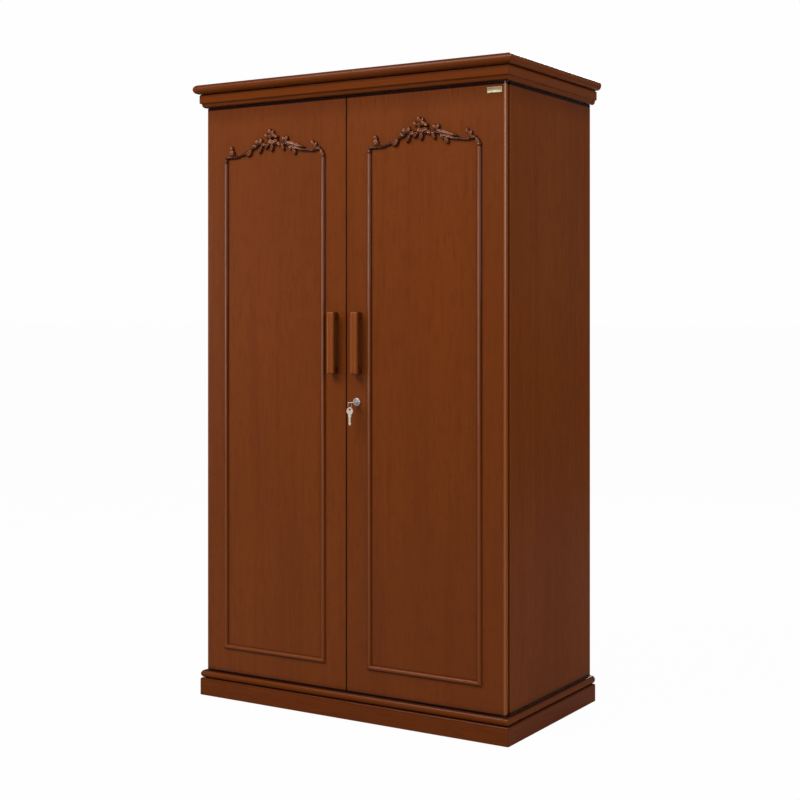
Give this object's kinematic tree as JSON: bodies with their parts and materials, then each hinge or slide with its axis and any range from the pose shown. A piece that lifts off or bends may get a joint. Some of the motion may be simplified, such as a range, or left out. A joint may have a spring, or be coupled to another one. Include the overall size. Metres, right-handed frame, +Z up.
{
  "type": "almirah",
  "caption": "Tall two-door wooden almirah on a plinth, with a mitred cornice, carved crests and beads on flush doors, bar handles, a cam lock with keys, shelves and a hanging rail.",
  "frame": {"origin": "on the floor under the middle of the whole object's box", "axes": "+Z up; -Y is the front with the doors; +X to the right as seen from the front"},
  "size_m": [1.162, 0.6448, 1.98],
  "materials": {
    "mahogany": "satin red-brown stain",
    "mahogany_dark": "satin red-brown stain, darker",
    "inner_wood": "matt stain",
    "back_plywood": "sealed plywood",
    "nickel": "polished nickel",
    "zinc_steel": "zinc plated",
    "brass": "lacquered"
  },
  "bodies": {
    "carcass": {"plinth_front": "mahogany_dark", "plinth_left": "mahogany_dark", "plinth_right": "mahogany_dark", "side_panel_left": "mahogany", "side_panel_right": "mahogany", "base_moulding_front": "mahogany", "base_moulding_left": "mahogany", "base_moulding_right": "mahogany", "cornice_lower_front": "mahogany", "cornice_lower_left": "mahogany", "cornice_lower_right": "mahogany", "cornice_upper_front": "mahogany", "cornice_upper_left": "mahogany", "cornice_upper_right": "mahogany", "plinth_back": "inner_wood", "base_board": "inner_wood", "top_panel": "inner_wood", "centre_partition": "inner_wood", "cornice_rear_rail": "inner_wood", "hat_shelf": "inner_wood", "shelf_1": "inner_wood", "shelf_2": "inner_wood", "shelf_3": "inner_wood", "shelf_4": "inner_wood", "back_panel": "back_plywood", "dust_cover": "back_plywood", "rail_socket_left": "zinc_steel", "rail_socket_right": "zinc_steel", "hanging_rail": "zinc_steel", "pivot_foot_left": "zinc_steel", "pivot_foot_right": "zinc_steel", "pivot_head_left": "zinc_steel", "pivot_head_right": "zinc_steel", "bolt_keeper_top": "brass", "bolt_keeper_bottom": "brass"},
    "left_door": {"door_left": "mahogany", "bead_foot_left": "mahogany_dark", "bead_left_left": "mahogany_dark", "bead_right_left": "mahogany_dark", "crest_left": "mahogany_dark", "handle_left": "mahogany", "strike_plate": "zinc_steel", "bolt_barrel_top": "brass", "bolt_barrel_bottom": "brass"},
    "right_door": {"door_right": "mahogany", "bead_foot_right": "mahogany_dark", "bead_left_right": "mahogany_dark", "bead_right_right": "mahogany_dark", "crest_right": "mahogany_dark", "handle_right": "mahogany", "lock_housing": "nickel", "lock_nut": "zinc_steel"},
    "lock_barrel": {"lock_plug": "nickel", "lock_cam": "zinc_steel", "cam_screw": "zinc_steel", "key_in_lock": "nickel"},
    "ring": {"key_ring": "nickel"},
    "spare": {"spare_key": "nickel"},
    "top_bolt": {"bolt_rod_top": "brass"},
    "bottom_bolt": {"bolt_rod_bottom": "brass"}
  },
  "joints": [
    {"name": "left_door_hinge", "type": "hinge", "parent": "carcass", "child": "left_door", "pos_m": [-0.535, -0.25962, 0.0806], "axis": [0, 0, -1], "range_deg": [0, 110]},
    {"name": "right_door_hinge", "type": "hinge", "parent": "carcass", "child": "right_door", "pos_m": [0.535, -0.25962, 0.0806], "axis": [0, 0, 1], "range_deg": [0, 110]},
    {"name": "lock_turn", "type": "hinge", "parent": "right_door", "child": "lock_barrel", "pos_m": [0.039, -0.27163, 0.968], "axis": [0, 1, 0], "range_deg": [0, 90]},
    {"name": "key_ring_swing", "type": "hinge", "parent": "lock_barrel", "child": "ring", "pos_m": [0.039, -0.31112, 0.968], "axis": [0, 1, 0], "range_deg": [-30, 30]},
    {"name": "spare_key_swing", "type": "hinge", "parent": "ring", "child": "spare", "pos_m": [0.039, -0.31112, 0.94926], "axis": [0, 1, 0], "range_deg": [-45, 45]},
    {"name": "top_bolt_slide", "type": "slide", "parent": "left_door", "child": "top_bolt", "axis": [0, 0, 1], "range_m": [0, 0.018]},
    {"name": "bottom_bolt_slide", "type": "slide", "parent": "left_door", "child": "bottom_bolt", "axis": [0, 0, -1], "range_m": [0, 0.018]}
  ]
}
